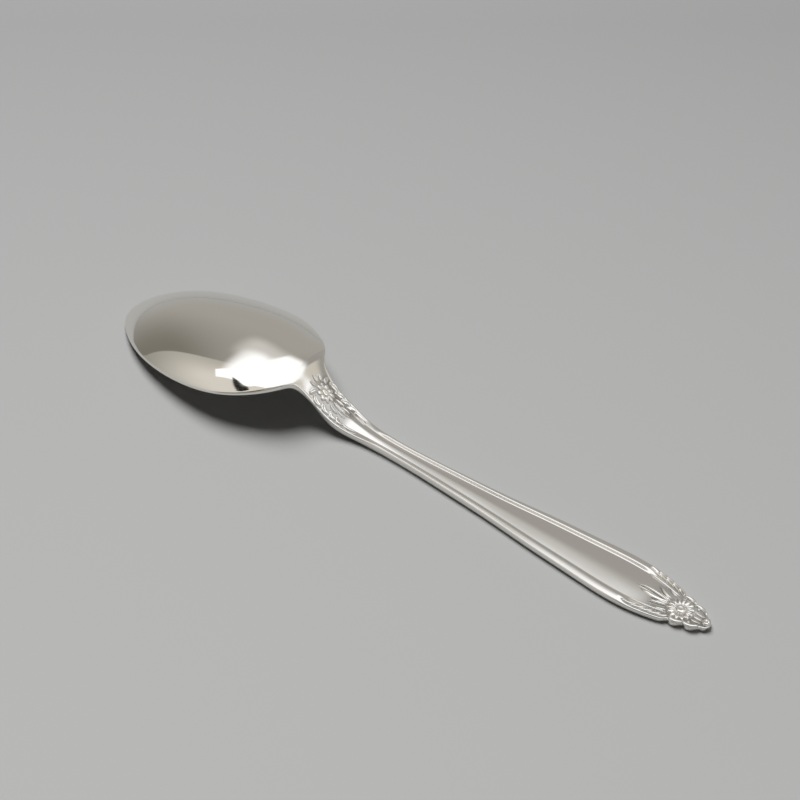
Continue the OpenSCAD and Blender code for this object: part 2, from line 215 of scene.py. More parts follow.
def rings(s, slant):
    """Closed rings of points [ring, place, xyz] for the sections s."""
    w = s[:, 1]
    crest, foot = zones(s)
    round_top, round_low = np.minimum(TOP_R, s[:, 3] * 0.35), np.minimum(LOW_R, s[:, 3] * 0.3)
    top_v = np.minimum(round_top * slant, 0.35 * w)
    low_v = np.minimum(round_low * slant, 0.35 * w)
    drop = round_top * np.minimum(1, top_v / round_top)
    lift = round_low * np.minimum(1, low_v / round_low)
    back = []
    turn = np.radians(90 / ROUND_STEPS * np.arange(ROUND_STEPS))
    for a in turn:
        v = top_v * (1 - np.cos(a))
        back.append((v, back_height(s, v) - drop * (1 - np.sin(a))))
    for v in half_columns(top_v, [(crest, CREST_STEPS), (foot, FOOT_STEPS), (w, PANEL_STEPS)]):
        back.append((v, back_height(s, v)))
    front = []
    for v in half_columns(w, [(low_v, PANEL_STEPS)]):
        front.append((v, s[:, 2] + s[:, 5] * dome((w - v) / w, s)))
    for a in turn[::-1]:
        v = low_v * (1 - np.cos(a))
        front.append((v, s[:, 2] + s[:, 5] * dome((w - v) / w, s) + lift * (1 - np.sin(a))))
    upper, lower = back[0][1], front[-1][1]
    wall = [(0 * w, lower + (upper - lower) * q) for q in (0.33, 0.67)]
    half = [(v - w, z) for v, z in back]
    other = [(-y, z) for y, z in half[-2::-1]]
    under = [(w - v, z) for v, z in front]
    loop = (half + other + [(w - v, z) for v, z in wall[::-1]] + under[::-1]
            + [(-y, z) for y, z in under[1:]] + [(v - w, z) for v, z in wall])
    return np.stack([np.stack([s[:, 0], y, z], axis=-1) for y, z in loop], axis=1)


START, STOP = 0.02, LAST - 0.02
STEPS = [(START, HEEL, 260), (HEEL, NECK, 200), (NECK, STEM, 70), (STEM, PANEL, 90),
         (PANEL, STOP, 210)]
PLACE = np.concatenate([np.linspace(a, b, n, endpoint=False) for a, b, n in STEPS] + [[STOP]])
RING = sections(PLACE)
SLANT = np.sqrt(1 + np.clip(np.gradient(RING[:, 1], RING[:, 0]), -6, 6) ** 2)
SKIN = rings(RING, SLANT)
print("skin of", SKIN.shape[0], "rings with", SKIN.shape[1], "places each")

# %% [markdown]
# ## Normals of the whole skin
# A mirror finish is lit by its normals more than by its points, so the normals are taken from
# the whole skin at once, before it is cut into pieces. Then no cut shows. Where the dome turns
# into the heel, the computed normals mirror the same part of the room twice and break the
# highlight up, and on the real spoon it runs through. There the normals are drawn evenly from
# one end of the turn to the other. The points stay where they are.

# %% Computed normals, evened out at the heel
TURN_FROM, TURN_TO = -32.8, -25.2


def tangents(points, axis, wrap):
    """Slope of the skin along one axis; of two unequal steps the shorter one counts more."""
    before, after = np.roll(points, 1, axis), np.roll(points, -1, axis)
    if not wrap:
        before[0], after[-1] = 2 * points[0] - after[0], 2 * points[-1] - before[-1]
    back, ahead = points - before, after - points
    a = np.linalg.norm(back, axis=-1, keepdims=True) + 1e-9
    b = np.linalg.norm(ahead, axis=-1, keepdims=True) + 1e-9
    return (back / a * b + ahead / b * a) / (a + b)


def skin_normals(points):
    n = np.cross(tangents(points, 1, True), tangents(points, 0, False))
    n /= np.linalg.norm(n, axis=-1, keepdims=True) + 1e-12
    outward = points - points.mean(axis=1, keepdims=True)
    return n if (n * outward).sum() > 0 else -n


NORMAL = skin_normals(SKIN)
turn_start, turn_end = (int(np.argmin(np.abs(RING[:, 0] - x))) for x in (TURN_FROM, TURN_TO))
share = ease(np.arange(turn_start, turn_end + 1), turn_start, turn_end)[:, None, None]
even = NORMAL[turn_start] * (1 - share) + NORMAL[turn_end] * share
NORMAL[turn_start:turn_end + 1] = even / np.linalg.norm(even, axis=-1, keepdims=True)
print("normals evened out over", turn_end - turn_start + 1, "rings at the heel")

# %% [markdown]
# ## From a grid to a skin
# A grid primitive has the rows and columns that a skin needs. Its vertices are moved to the
# rings, its two long sides are merged, the ends are filled, and the faces are turned outward.
# Lofting with the extrude operator would need one call for every ring and give the same mesh.

# %% Helper that shapes a grid primitive into a closed skin
def loft(name, points, normals=None, closed=False, mask=None):
    """Closed skin through points [ring, place, xyz] in mm, with normals and a 0 to 1 mask."""
    count, places = points.shape[:2]
    rows = count if closed else count - 1
    bpy.ops.object.select_all(action="DESELECT")
    bpy.ops.mesh.primitive_grid_add(x_subdivisions=places, y_subdivisions=rows, size=2)
    piece = bpy.context.active_object
    piece.name = piece.data.name = name
    mesh = piece.data
    co = np.empty(len(mesh.vertices) * 3)
    mesh.vertices.foreach_get("co", co)
    co = co.reshape(-1, 3)
    j = np.rint((co[:, 0] + 1) / 2 * places).astype(int) % places
    i = np.rint((co[:, 1] + 1) / 2 * rows).astype(int) % count
    mesh.vertices.foreach_set("co", (points[i, j] * MM).ravel())
    recess = mesh.attributes.new("recess", "FLOAT", "POINT")
    recess.data.foreach_set("value", np.zeros(len(i)) if mask is None else mask[i, j])
    if normals is not None:
        kept = mesh.attributes.new("skin_normal", "FLOAT_VECTOR", "POINT")
        kept.data.foreach_set("vector", normals[i, j].ravel())
    bpy.ops.object.mode_set(mode="EDIT")
    bpy.ops.mesh.select_all(action="SELECT")
    bpy.ops.mesh.remove_doubles(threshold=1e-7)
    if not closed:
        bpy.ops.mesh.fill_holes(sides=0)
        bpy.ops.mesh.select_all(action="SELECT")
    bpy.ops.mesh.normals_make_consistent(inside=False)
    bpy.ops.object.mode_set(mode="OBJECT")
    for layer in list(mesh.uv_layers):
        mesh.uv_layers.remove(layer)
    bpy.ops.object.shade_smooth()
    if normals is not None:
        set_normals(mesh)
    return piece


def set_normals(mesh):
    """Shades the skin by the normals given for it, and the flat ends by their own."""
    stored = np.empty(len(mesh.vertices) * 3)
    mesh.attributes["skin_normal"].data.foreach_get("vector", stored)
    stored = stored.reshape(-1, 3)
    corner = np.empty(len(mesh.loops), int)
    mesh.loops.foreach_get("vertex_index", corner)
    shading = stored[corner]
    for face in mesh.polygons:
        if face.loop_total > 4:
            shading[face.loop_start:face.loop_start + face.loop_total] = face.normal
    mesh.normals_split_custom_set(shading.tolist())
    mesh.attributes.remove(mesh.attributes["skin_normal"])


# %% [markdown]
# ## Silver, polished three ways
# Sterling silver mirrors almost all light, a little warmer than it came. The bowl is
# mirror-polished: reflections stay sharp, with only the faintest hair scratches of use. The
# handle has been held for years, so its polish is softer and its marks are denser. In the
# recesses of the relief the polishing cloth never reaches, and a brown-black tarnish stays.

# %% Colours and a helper that adds a shader node
def linear(code):
    """Linear colour of an sRGB hex code."""
    parts = [int(code[k:k + 2], 16) / 255 for k in (1, 3, 5)]
    return tuple(c / 12.92 if c <= 0.04045 else ((c + 0.055) / 1.055) ** 2.4
                 for c in parts) + (1.0,)


def add(tree, kind, settings=None, links=None, **values):
    """Adds a node: settings are its fields, values its sockets, links its sockets' sources."""
    node = tree.nodes.new(kind)
    for key, value in (settings or {}).items():
        setattr(node, key, value)
    for key, value in values.items():
        node.inputs[key.replace("_", " ")].default_value = value
    for key, source in (links or {}).items():
        tree.links.new(source, node.inputs[key])
    return node


# %% Silver materials
TARNISH = "#3A352A"


def silver(name, tone, roughness, scratch_mm, scratch, tarnish):
    """Polished sterling silver with fine marks of use, tarnished where the recess mask says so."""
    made = bpy.data.materials.new(name)
    made.use_nodes = True
    tree = made.node_tree
    tree.nodes.clear()
    place = add(tree, "ShaderNodeTexCoord").outputs["Object"]
    cloudy = add(tree, "ShaderNodeTexNoise", links={"Vector": place},
                 Scale=180.0, Detail=3.0).outputs[0]
    # Hair scratches lie along the spoon: the pattern is drawn out twelve times in X
    drawn = add(tree, "ShaderNodeMapping", links={"Vector": place}, Scale=(1 / 12, 1.0, 1.0))
    hair = add(tree, "ShaderNodeTexNoise", links={"Vector": drawn.outputs[0]},
               Scale=1 / (scratch_mm * MM), Detail=2.0).outputs[0]
    rough = add(tree, "ShaderNodeMapRange", links={"Value": cloudy})
    rough.inputs["To Min"].default_value = roughness * 0.7
    rough.inputs["To Max"].default_value = roughness * 1.3
    recess = add(tree, "ShaderNodeAttribute", {"attribute_name": "recess"}).outputs["Fac"]
    dirt = add(tree, "ShaderNodeMath", {"operation": "MULTIPLY"}, {0: recess})
    dirt.inputs[1].default_value = tarnish
    colour = add(tree, "ShaderNodeMix", {"data_type": "RGBA"}, {"Factor": dirt.outputs[0]})
    clean, dirty = [socket for socket in colour.inputs if socket.type == "RGBA"]
    clean.default_value, dirty.default_value = linear(tone), linear(TARNISH)
    duller = add(tree, "ShaderNodeMath", {"operation": "MULTIPLY_ADD"},
                 {0: dirt.outputs[0], 2: rough.outputs[0]})
    duller.inputs[1].default_value = 0.3
    bump = add(tree, "ShaderNodeBump", links={"Height": hair}, Strength=scratch,
               Distance=scratch_mm * MM * 0.1)
    shader = add(tree, "ShaderNodeBsdfPrincipled", Metallic=1.0)
    tree.links.new([s for s in colour.outputs if s.type == "RGBA"][0], shader.inputs["Base Color"])
    tree.links.new(duller.outputs[0], shader.inputs["Roughness"])
    tree.links.new(bump.outputs[0], shader.inputs["Normal"])
    add(tree, "ShaderNodeOutputMaterial", links={"Surface": shader.outputs[0]})
    return made


# A sharp, nearly white mirror
mirror_silver = silver("mirror_polished_sterling_silver", "#F7F5F1", roughness=0.05,
                       scratch_mm=0.25, scratch=0.02, tarnish=0.0)
# A softer, slightly greyer mirror
handled_silver = silver("handled_sterling_silver", "#EFEEEC", roughness=0.15,
                        scratch_mm=0.2, scratch=0.05, tarnish=0.45)
# Bright tops over dark recesses
relief_silver = silver("struck_sterling_silver_relief", "#FAF9F7", roughness=0.14,
                       scratch_mm=0.2, scratch=0.05, tarnish=0.4)
print("materials", [m.name for m in (mirror_silver, handled_silver, relief_silver)])


def place_piece(piece, material, slot, *nodes):
    """Finishes a piece: its material, its body and the CAD nodes it stands for. The slot is not
    used.
    """
    piece.data.materials.clear()
    piece.data.materials.append(material)
    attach(piece, "root")
    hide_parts(*nodes)
    faces = len(piece.data.polygons)
    print(piece.name, "stands for", ", ".join(nodes), "with", faces, "faces")


# %% [markdown]
# ## The blank, cut into its lengths
# The bowl, neck, stem, panel and tip are lengths of the one skin. Each is closed by a flat end
# and meets the next one face to face. Under each border the skin is sunk by a little less than
# a tenth of a millimetre, where the border's own piece covers it. Round the ornament the skin is
# the field of the relief, and a mask marks where the tarnish stays.

# %% The field of the ornament, as a mask
def field(x, y):
    """1 on the ground between the leaves of the tip and of the neck, 0 on the polished rest."""
    w = section_at(x)[..., 1]
    tip = ease(x, 60.5 + 0.35 * np.abs(y), 63.5 + 0.5 * np.abs(y)) * ease(w - np.abs(y), 0.1, 0.5)
    neck = (ease(x, -23.5 + 0.25 * np.abs(y), -21.5) * (1 - ease(x, -14.5, -12.5))
            * ease(w - np.abs(y), 0.4, 1.1))
    return np.maximum(tip, neck)


# %% The five lengths
def covered(x):
    """How much of a place along the spoon is covered by the borders."""
    return (ease(x, BORDER_FROM + 0.2, BORDER_FROM + 1.2)
            * (1 - ease(x, BORDER_TO - 1.2, BORDER_TO - 0.2)))


SUNK = 0.08
distance = RING[:, 1:2] - np.abs(SKIN[:, :, 1])
crest, foot = zones(RING)
on_back = np.arange(SKIN.shape[1]) < 2 * MIDDLE_PLACE + 1
under_border = (covered(SKIN[:, :, 0]) * on_back * ease(distance, 0.0, 0.1)
                * (1 - ease(distance, foot[:, None] - 0.1, foot[:, None])))
BODY = SKIN - (SUNK * under_border)[:, :, None] * NORMAL
MASK = field(SKIN[:, :, 0], SKIN[:, :, 1]) * on_back

cuts = np.cumsum([0] + [n for _, _, n in STEPS])
names = ["bowl", "neck", "stem", "handle_panel", "handle_tip"]
for k, node in enumerate(names):
    part = slice(cuts[k], cuts[k + 1] + 1)
    piece = loft("silver_" + node, BODY[part], NORMAL[part], mask=MASK[part])
    if node == "bowl":
        place_piece(piece, mirror_silver, "polished_silver", node)
    else:
        place_piece(piece, handled_silver, "handle_silver", node)

# %% [markdown]
# ## The two borders
# Each border is a long strip over the edge: its outer slope, its crest and its inner face. It
# takes its points and normals from the skin, so that it flows into the wall and the panel.
# Its underside is closed a little inside the blank. A bevelled curve would be quicker, but
# where it widened it would also grow higher, and this border keeps its height.

# %% The borders
CLOSED_UNDER_FOOT, CLOSED_UNDER_EDGE, CLOSED_INSIDE_EDGE = 0.2, 0.1, 0.2


def border_strip(name, side):
    rows = np.flatnonzero((RING[:, 0] > BORDER_FROM) & (RING[:, 0] < BORDER_TO))
    if side < 0:
        edge = slice(0, FOOT_PLACE + 1)
    else:
        edge = slice(2 * MIDDLE_PLACE - FOOT_PLACE, 2 * MIDDLE_PLACE + 1)
    top, facing = SKIN[rows][:, edge].copy(), NORMAL[rows][:, edge]
    ends = 1 - covered(top[:, :, 0])
    top -= (SUNK * ends)[:, :, None] * facing
    last, first = top[:, -1:].copy(), top[:, :1].copy()
    inner, outer = (last, first) if side < 0 else (first, last)
    inner[..., 2] -= CLOSED_UNDER_FOOT
    outer[..., 2] -= CLOSED_UNDER_EDGE
    outer[..., 1] -= side * CLOSED_INSIDE_EDGE
    points = np.concatenate([top, last, first], axis=1)
    normals = np.concatenate([facing, -facing[:, -1:], -facing[:, :1]], axis=1)
    return loft(name, points, normals)


for node, side in (("left_border", 1), ("right_border", -1)):
    place_piece(border_strip("silver_" + node, side), handled_silver, "handle_silver", node)

# %% [markdown]
# ## Leaves, husks and lobes
# All leaves of the ornament are of one kind: a middle line on the back, a width that fills out
# and comes to a point, and a height that is rounded, creased by a midrib or curled up to one
# side. One helper makes the rings of such a leaf, and each leaf is lofted like the blank.

# %% Rings of a leaf
LEAF_LOW, LEAF_KEY = 0.02, 0.12


def curve(path, steps):
    """Points on the Bezier curve that has the points of path as its control points."""
    points = np.repeat(np.array(path, float)[:, None, :], steps + 1, axis=1)
    t = np.linspace(0, 1, steps + 1)[:, None]
    while len(points) > 1:
        points = points[:-1] * (1 - t) + points[1:] * t
    return points[0]


def leaf_rings(path, width, height, rib=0.0, curl=0.0, fill=0.7, lead=0.5, steps=24, across=12):
    """Closed rings for a leaf along path: rib sinks the midrib, curl lifts the left side."""
    middle = curve(path, steps)
    t = np.linspace(0, 1, steps + 1)
    along = np.gradient(middle, axis=0)
    along /= np.linalg.norm(along, axis=1, keepdims=True)
    across_dir = np.stack([-along[:, 1], along[:, 0]], axis=1)
    shape = np.sin(np.pi * t ** (np.log(0.5) / np.log(lead))) ** fill
    half = np.maximum(0.02, width / 2 * shape)
    c = np.linspace(-1, 1, across + 1)
    flat = middle[:, None, :] + across_dir[:, None, :] * (half[:, None] * c)[:, :, None]
    rounded = np.sqrt(np.clip(1 - c * c, 0, 1)) ** 0.9
    creased = 1 - rib * np.exp(-(c / 0.22) ** 2)
    full = np.minimum(1, 1.6 * half / (width / 2))[:, None]
    up = height * full * rounded * creased * (1 + curl * c)
    z = ground(flat[..., 0], flat[..., 1])
    top = np.concatenate([flat, (z + up - LEAF_LOW)[:, :, None]], axis=2)
    low = np.concatenate([flat, (z - LEAF_KEY)[:, :, None]], axis=2)[:, ::-1]
    return np.concatenate([top, low], axis=1)


def relief_mask(points, height):
    """Tarnish low on the sides of the relief, none on the polished tops."""
    up = points[..., 2] - ground(points[..., 0], points[..., 1])
    return 1 - ease(up, 0.0, 0.45 * height)


def join(name, parts):
    bpy.ops.object.select_all(action="DESELECT")
    for part in parts:
        part.select_set(True)
    bpy.context.view_layer.objects.active = parts[0]
    if len(parts) > 1:
        bpy.ops.object.join()
    piece = bpy.context.view_layer.objects.active
    piece.name = piece.data.name = name
    bpy.ops.object.shade_smooth_by_angle(angle=radians(55))
    return piece


def leaves(name, specs, node, beads=()):
    """Lofts the leaves (path, width, height, options) and beads (x, y, diameter) and joins them."""
    parts = []
    for path, width, height, *options in specs:
        points = leaf_rings(path, width, height, **(options[0] if options else {}))
        parts.append(loft("leaf", points, mask=relief_mask(points, height)))
    for x, y, d in beads:
        height = 0.3 * d + 0.2
        points = eye_rings(x, d, height, dimple=0.0, y=y)
        parts.append(loft("bead", points, mask=relief_mask(points, height)))
    place_piece(join(name, parts), relief_silver, "relief_silver", node)


def mirrored(specs):
    """The same leaves for the other side of the middle line."""
    other = []
    for path, width, height, *options in specs:
        turned = dict(options[0]) if options else {}
        turned["curl"] = -turned.get("curl", 0.0)
        other.append(([(x, -y) for x, y in path], width, height, turned))
    return other


# %% [markdown]
# ## The flowers
# A flower is a ring of petals round an eye. The ring is one closed loop whose section swells
# at every petal, with a crease down each petal's middle and a deep gap between two petals, as
# a die cutter sinks them. The eye is a low disc with a rounded edge and an almost flat top.

# %% Petal rings and eyes
PETAL_GAP = 0.25
PETAL_ROWS = [(0.0, -0.12), (0.0, 0.3), (0.12, 0.7), (0.3, 0.95), (0.5, 1.0), (0.7, 0.92),
              (0.86, 0.7), (0.96, 0.4), (1.0, -0.05), (1.0, -0.2)]


def petal_ring(x, d, eye_d, number, height):
    """Closed ring of petals: rows go outward as (share of the width, share of the height)."""
    n = number * 12
    angle = np.arange(n) * 2 * np.pi / n
    swell = PETAL_GAP + (1 - PETAL_GAP) * np.abs(np.cos(number * angle / 2)) ** 0.75
    crease = 1 - 0.3 * np.exp(-(np.mod(angle * number / (2 * np.pi) + 0.5, 1) - 0.5) ** 2 / 0.004)
    outer = d / 2 * (0.74 + 0.26 * np.abs(np.cos(number * angle / 2)) ** 1.2)
    inner = eye_d / 2 * 0.9
    loops = []
    for share, up in PETAL_ROWS:
        r = inner + share * (outer - inner)
        px, py = x + r * np.cos(angle), r * np.sin(angle)
        lift = up * height * (swell * crease if up > 0 else 1)
        loops.append(np.stack([px, py, ground(px, py) + lift], axis=1))
    return np.stack(loops, axis=1)


def eye_rings(x, d, height, dimple, y=0.0):
    """Rings of a low disc, from its keyed foot over the edge to the middle of its top."""
    angle = np.arange(32) * 2 * np.pi / 32
    loops = []
    for r, up in [(0.02, -0.15), (1, -0.15), (1, 0.2), (0.93, 0.55), (0.8, 0.85), (0.62, 1),
                  (0.42, 1 - dimple / 2), (0.2, 1 - dimple), (0.02, 1 - dimple)]:
        px, py = x + r * d / 2 * np.cos(angle), y + r * d / 2 * np.sin(angle)
        loops.append(np.stack([px, py, ground(px, py) + (up * height if up > 0 else up)], axis=1))
    return np.stack(loops, axis=0)


def flower(node, x, d, eye_d, number, height):
    """Petals and eye of a flower at x, d across, with its number of petals."""
    points = petal_ring(x, d, eye_d, number, height)
    ring = loft("ring", points, closed=True, mask=relief_mask(points, height))
    place_piece(join("silver_" + node, [ring]), relief_silver, "relief_silver", node)
    points = eye_rings(x, eye_d, height, dimple=0.05)
    disc = loft("eye", points, mask=relief_mask(points, height))
    node += "_eye"
    place_piece(join("silver_" + node, [disc]), relief_silver, "relief_silver", node)


flower("tip_flower", x=69.2, d=5.8, eye_d=2.1, number=14, height=0.5)
flower("neck_flower", x=-20.0, d=3.8, eye_d=1.4, number=9, height=0.45)

# %% [markdown]
# ## Ornament of the tip
# Leaves point from the flower along the handle. The borders end in a row of curled husks that
# climbs along each edge, and beyond them rounded lobes and flutes fill the end.

# %% Leaves, husks, lobes and flutes of the tip
slender = dict(fill=0.8, lead=0.4)
side_leaves = [
    ([(66.5, 1.0), (64.8, 1.3), (62.8, 2.4)], 0.75, 0.5, slender),
    ([(66.6, 0.5), (65.0, 0.6), (63.3, 1.1)], 0.65, 0.4, slender),
    ([(67.2, 2.1), (66.0, 2.4), (64.6, 3.1)], 0.6, 0.4, slender),
]
leaves("silver_tip_leaves", [
    ([(66.5, 0.1), (63.0, 1.2), (59.0, 0.0)], 1.0, 0.5, dict(curl=0.3, lead=0.4)),
    ([(66.5, -0.1), (63.4, -1.3), (60.2, -0.5)], 0.95, 0.5, dict(curl=-0.3, lead=0.4)),
] + side_leaves + mirrored(side_leaves), "tip_leaves")
husk = [
    ([(58.6, 5.2), (60.4, 5.3), (62.0, 4.3)], 0.9, 0.45, dict(curl=0.4)),
    ([(60.4, 5.2), (62.4, 5.1), (63.7, 4.0)], 1.0, 0.5, dict(curl=0.4)),
    ([(62.2, 4.9), (64.2, 4.8), (65.3, 3.7)], 1.0, 0.5, dict(curl=0.4)),
    ([(64.0, 4.6), (66.0, 4.4), (66.9, 3.3)], 1.0, 0.5, dict(curl=0.4)),
    ([(65.8, 4.2), (67.6, 3.9), (68.2, 2.9)], 0.9, 0.45, dict(curl=0.4)),
    ([(59.5, 3.9), (63.6, 3.6), (67.6, 2.5)], 0.55, 0.35, dict(fill=0.5)),
]
leaves("silver_left_tip_husk", husk, "left_tip_husk")
leaves("silver_right_tip_husk", mirrored(husk), "right_tip_husk")
lobe = [
    ([(68.2, 2.9), (69.5, 3.9), (71.3, 2.6)], 0.9, 0.45, dict(fill=0.45)),
    ([(70.9, 2.3), (72.6, 3.2), (74.3, 1.5)], 0.85, 0.45, dict(fill=0.45)),
]
leaves("silver_tip_lobes", lobe + mirrored(lobe), "tip_lobes",
       beads=[(75.0, 0.0, 1.7), (72.2, 1.9, 0.6), (72.2, -1.9, 0.6)])
flute = [([(72.0, 0.9), (73.2, 1.0), (74.3, 0.9)], 0.5, 0.35, dict(fill=0.5))]
middle_flute = [([(72.1, 0.0), (74.1, 0.0)], 0.6, 0.4, dict(fill=0.5))]
leaves("silver_tip_fan", middle_flute + flute + mirrored(flute), "tip_fan")

# %% [markdown]
# ## Ornament of the neck
# A small flower sits on the drop. Leaves fan out towards the bowl, a bud points down the stem,
# and a chain of leaves on each side is drawn out until it meets the border. The leaves of the
# chain are up to 0.4 mm wider and 0.1 mm higher than the CAD solids that they stand for, so that
# they lie as close together as struck leaves do.

# %% Leaves of the neck
fan = [
    ([(-21.2, 1.2), (-21.9, 2.0), (-21.8, 3.2)], 0.8, 0.45, dict(rib=0.4)),
    ([(-21.7, 0.7), (-22.4, 1.2), (-23.1, 1.5)], 0.8, 0.45, dict(rib=0.4)),
]
middle_leaf = [([(-21.8, 0.0), (-23.6, 0.0)], 0.9, 0.45, dict(rib=0.4))]
leaves("silver_neck_leaves", fan + mirrored(fan) + middle_leaf, "neck_leaves")
sprig = [
    ([(-18.2, 0.7), (-17.2, 1.4), (-15.9, 1.2)], 0.7, 0.45, dict(curl=0.3)),
    ([(-16.4, 0.5), (-15.4, 1.0), (-14.2, 0.8)], 0.55, 0.35, dict(curl=0.3)),
]
leaves("silver_neck_bud", [([(-18.0, 0.0), (-13.4, 0.0)], 0.9, 0.45, dict(rib=0.3, lead=0.35))]
       + sprig + mirrored(sprig), "neck_bud")
chain = [
    ([(-21.0, 2.1), (-20.4, 3.4), (-18.8, 2.6)], 1.3, 0.6, dict(curl=0.3, rib=0.3)),
    ([(-19.2, 1.7), (-18.5, 3.3), (-17.0, 2.5)], 1.3, 0.6, dict(curl=0.3, rib=0.3)),
    ([(-17.5, 1.6), (-16.7, 3.2), (-15.3, 2.4)], 1.2, 0.6, dict(curl=0.3, rib=0.3)),
    ([(-15.8, 1.5), (-15.0, 2.9), (-13.6, 2.2)], 1.1, 0.5, dict(curl=0.3)),
    ([(-14.3, 1.9), (-12.6, 2.5), (-10.4, 1.7)], 0.8, 0.4, dict(curl=0.3)),
]
leaves("silver_left_neck_leaves", chain, "left_neck_leaves")
leaves("silver_right_neck_leaves", mirrored(chain), "right_neck_leaves")

# %% [markdown]
# ## The table
# The spoon lies on a plain pale grey table. Its grey is painted a little brighter towards the
# viewer, a painted fall of light. Its plane is a grid with a matt finish that keeps the spoon's
# shadow. Seen in the silver it is a little darker and warmer than seen directly.

# %% The table
TOWARDS_VIEWER = (0.616, -0.788, 0.0)
# Painted light: the grey is darker far away and lighter towards the viewer, a painted fall of light
TABLE_FAR_SHADED, TABLE_NEAR_LIT = "#949494", "#BEBEBD"
TABLE_IN_SILVER = (0.93, 0.93, 0.91, 1)
FAR_M, NEAR_M = -0.16, 0.12


def table_top():
    bpy.ops.object.select_all(action="DESELECT")
    bpy.ops.mesh.primitive_grid_add(x_subdivisions=8, y_subdivisions=8, size=2.4)
    top = bpy.context.active_object
    top.name = "table_top"
    made = bpy.data.materials.new("pale_grey_table")
    made.use_nodes = True
    tree = made.node_tree
    tree.nodes.clear()
    place = add(tree, "ShaderNodeTexCoord").outputs["Object"]
    towards = add(tree, "ShaderNodeVectorMath", {"operation": "DOT_PRODUCT"}, {0: place})
    towards.inputs[1].default_value = TOWARDS_VIEWER
    nearer = add(tree, "ShaderNodeMapRange", links={"Value": towards.outputs["Value"]})
    nearer.inputs["From Min"].default_value = FAR_M
    nearer.inputs["From Max"].default_value = NEAR_M
    # The painted fall of light across the table, from the far grey to the near grey
    painted_falloff = add(tree, "ShaderNodeValToRGB", links={"Fac": nearer.outputs[0]})
    painted_falloff.color_ramp.elements[0].color = linear(TABLE_FAR_SHADED)
    painted_falloff.color_ramp.elements[1].color = linear(TABLE_NEAR_LIT)
    in_silver = add(tree, "ShaderNodeLightPath").outputs["Is Glossy Ray"]
    dimmer = add(tree, "ShaderNodeMix", {"data_type": "RGBA", "blend_type": "MULTIPLY"},
                 {"Factor": in_silver})
    a, b = [socket for socket in dimmer.inputs if socket.type == "RGBA"]
    tree.links.new(painted_falloff.outputs[0], a)
    b.default_value = TABLE_IN_SILVER
    shader = add(tree, "ShaderNodeBsdfPrincipled", Roughness=0.8)
    tree.links.new([o for o in dimmer.outputs if o.type == "RGBA"][0], shader.inputs["Base Color"])
    add(tree, "ShaderNodeOutputMaterial", links={"Surface": shader.outputs[0]})
    top.data.materials.append(made)
    print("table", [round(v, 2) for v in top.dimensions], "metres")


table_top()

# %% [markdown]
# ## Tools to draw a room with
# Polished silver has hardly a colour of its own: it shows the room. So the room is drawn with
# care as a world of directions. These helpers put sums, soft edges and blends of colours into
# the world's node tree. Built walls would cost many objects and give the same reflections.

# %% World and helpers
world = bpy.data.worlds.new("room")
bpy.context.scene.world = world
world.use_nodes = True
room = world.node_tree
room.nodes.clear()
direction = add(room, "ShaderNodeTexCoord").outputs["Generated"]


def math(operation, *values):
    """One operation on numbers and sockets."""
    node = add(room, "ShaderNodeMath", {"operation": operation})
    for socket, value in zip(node.inputs, values):
        if isinstance(value, (int, float)):
            socket.default_value = value
        else:
            room.links.new(value, socket)
    return node.outputs[0]


def product(*values):
    total = values[0]
    for value in values[1:]:
        total = math("MULTIPLY", total, value)
    return total


def line(value, slope, start):
    return math("MULTIPLY_ADD", value, slope, start)


def aim(azimuth, elevation):
    a, e = radians(azimuth), radians(elevation)
    return (np.cos(a) * np.cos(e), np.sin(a) * np.cos(e), np.sin(e))


def toward(azimuth, elevation):
    """Cosine between the viewing direction and a fixed one."""
    node = add(room, "ShaderNodeVectorMath", {"operation": "DOT_PRODUCT"}, {0: direction})
    node.inputs[1].default_value = aim(azimuth, elevation)
    return node.outputs["Value"]


def step(value, low, high):
    """0 where value is at low, 1 where it is at high, with a smooth way between."""
    node = add(room, "ShaderNodeMapRange", {"interpolation_type": "SMOOTHSTEP"}, {"Value": value})
    node.inputs["From Min"].default_value = low
    node.inputs["From Max"].default_value = high
    return node.outputs[0]


def blend(amount, below, above):
    """Colour between below and above, each a hex code, a linear colour or a socket."""
    node = add(room, "ShaderNodeMix", {"data_type": "RGBA"}, {"Factor": amount})
    a, b = [s for s in node.inputs if s.type == "RGBA"]
    for socket, value in ((a, below), (b, above)):
        if isinstance(value, str):
            socket.default_value = linear(value)
        elif isinstance(value, tuple):
            socket.default_value = value
        else:
            room.links.new(value, socket)
    return [s for s in node.outputs if s.type == "RGBA"][0]


# %% [markdown]
# ## The walls
# Behind the spoon stands a grey wall, as light as the table at its foot, which darkens towards
# a corner on the left. There a warm wall begins, brighter higher up and away from the corner.
# The near side of the room is dim, and on the right there is a beige wall.

# %% Walls
axes = add(room, "ShaderNodeSeparateXYZ", links={"Vector": direction}).outputs
height = axes["Z"]
seen = blend(step(height, -0.05, 0.4), "#A8A8A5", "#A5A19B")
corner = toward(-68, 0)
shade = product(step(corner, -0.8, -0.02), step(height, 1.15, 0.45))
seen = blend(shade, seen, "#7B776E")
low_wall = blend(step(corner, 0.0, 0.45), "#97948B", "#BBB9B2")
high_wall = blend(step(corner, 0.0, 0.3), "#B4B0A7", "#D9D3CA")
warm = blend(step(height, 0.0, 0.64), low_wall, high_wall)
seen = blend(step(corner, 0.0, 0.008), seen, warm)
near = blend(step(height, 0.0, 0.6), "#77746D", "#A29E96")
seen = blend(step(toward(-52, 10), 0.50, 0.62), seen, near)
beige = blend(step(height, 0.05, 0.35), "#A8A49A", "#D2CCC0")
seen = blend(step(toward(18, 20), 0.80, 0.88), seen, beige)
print("walls from", len(room.nodes), "nodes")

# %% [markdown]
# ## The bright ceiling
# Most of the spoon's sparkle is one bright ceiling. It is drawn on a plane overhead, with X/Z
# and Y/Z as its measures. Towards the walls it is soft, and the wall beside it takes some of
# its light. On the near side its edge is sharp and ends in a pointed tail, with a dark beam
# beside it and a dim patch beyond.

